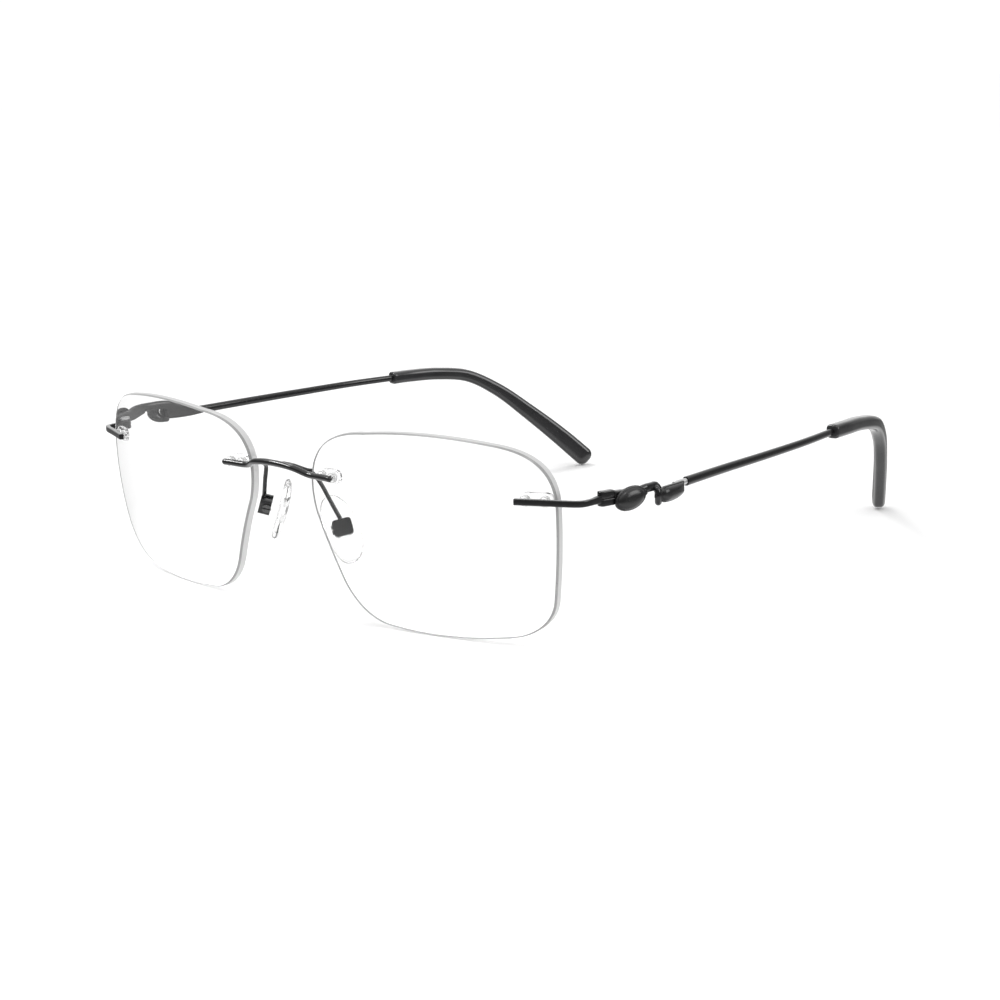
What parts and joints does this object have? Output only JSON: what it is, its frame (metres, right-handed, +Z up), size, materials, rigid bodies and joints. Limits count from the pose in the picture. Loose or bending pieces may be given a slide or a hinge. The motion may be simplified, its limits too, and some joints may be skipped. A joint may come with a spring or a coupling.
{
  "type": "rimless eyeglasses",
  "caption": "Rimless eyeglasses with drill-mounted clear lenses, folding wire temples with black sleeves, domed plaques and rocking nose pads.",
  "frame": {"origin": "on the ground plane, under the middle of the bounding box of the open glasses", "axes": "+Z up, the lenses face -Y, the temples run back along +Y, the wearer's left is +X"},
  "size_m": [0.1424, 0.14, 0.0381],
  "materials": {
    "lens": "clear polished lens with an anti-reflection coating",
    "plug": "clear moulded plastic",
    "pin": "turned steel",
    "screw": "turned steel",
    "frame_metal": "glossy black plating on nickel alloy",
    "plaque": "polished black cabochon",
    "pad": "clear soft silicone",
    "tip": "glossy black moulded sleeve"
  },
  "bodies": {
    "front": {"bridge": "frame_metal", "left_lens": "lens", "left_nasal_lens_plug": "plug", "left_nasal_lens_pin_inner": "pin", "left_nasal_lens_pin_outer": "pin", "left_temporal_lens_plug": "plug", "left_temporal_lens_pin_inner": "pin", "left_temporal_lens_pin_outer": "pin", "left_pad_arm": "frame_metal", "left_pad_box": "frame_metal", "left_pad_screw": "screw", "right_lens": "lens", "right_nasal_lens_plug": "plug", "right_nasal_lens_pin_inner": "pin", "right_nasal_lens_pin_outer": "pin", "right_temporal_lens_plug": "plug", "right_temporal_lens_pin_inner": "pin", "right_temporal_lens_pin_outer": "pin", "right_pad_arm": "frame_metal", "right_pad_box": "frame_metal", "right_pad_screw": "screw", "left_endpiece": "frame_metal", "left_hinge_screw": "screw", "right_endpiece": "frame_metal", "right_hinge_screw": "screw"},
    "left_temple": {"left_temple_link": "frame_metal", "left_oval_plaque": "plaque", "left_leaf_plaque": "plaque", "left_temple_wire": "frame_metal", "left_temple_tip": "tip"},
    "left_pad": {"left_nose_pad": "pad", "left_pad_insert": "plug"},
    "right_temple": {"right_temple_link": "frame_metal", "right_oval_plaque": "plaque", "right_leaf_plaque": "plaque", "right_temple_wire": "frame_metal", "right_temple_tip": "tip"},
    "right_pad": {"right_nose_pad": "pad", "right_pad_insert": "plug"}
  },
  "joints": [
    {"name": "left_temple_fold", "type": "hinge", "parent": "front", "child": "left_temple", "pos_m": [0.0659, -0.04919, 0.02682], "axis": [0, 0, 1], "range_deg": [0, 80]},
    {"name": "right_temple_fold", "type": "hinge", "parent": "front", "child": "right_temple", "pos_m": [-0.0659, -0.04919, 0.02682], "axis": [0, 0, -1], "range_deg": [0, 76]},
    {"name": "left_pad_rock", "type": "hinge", "parent": "front", "child": "left_pad", "pos_m": [0.01161, -0.06119, 0.01712], "axis": [0.6531, 0.7308, 0.1985], "range_deg": [-12, 12]},
    {"name": "right_pad_rock", "type": "hinge", "parent": "front", "child": "right_pad", "pos_m": [-0.01161, -0.06119, 0.01837], "axis": [-0.6531, 0.7308, 0.1985], "range_deg": [-12, 12]}
  ]
}
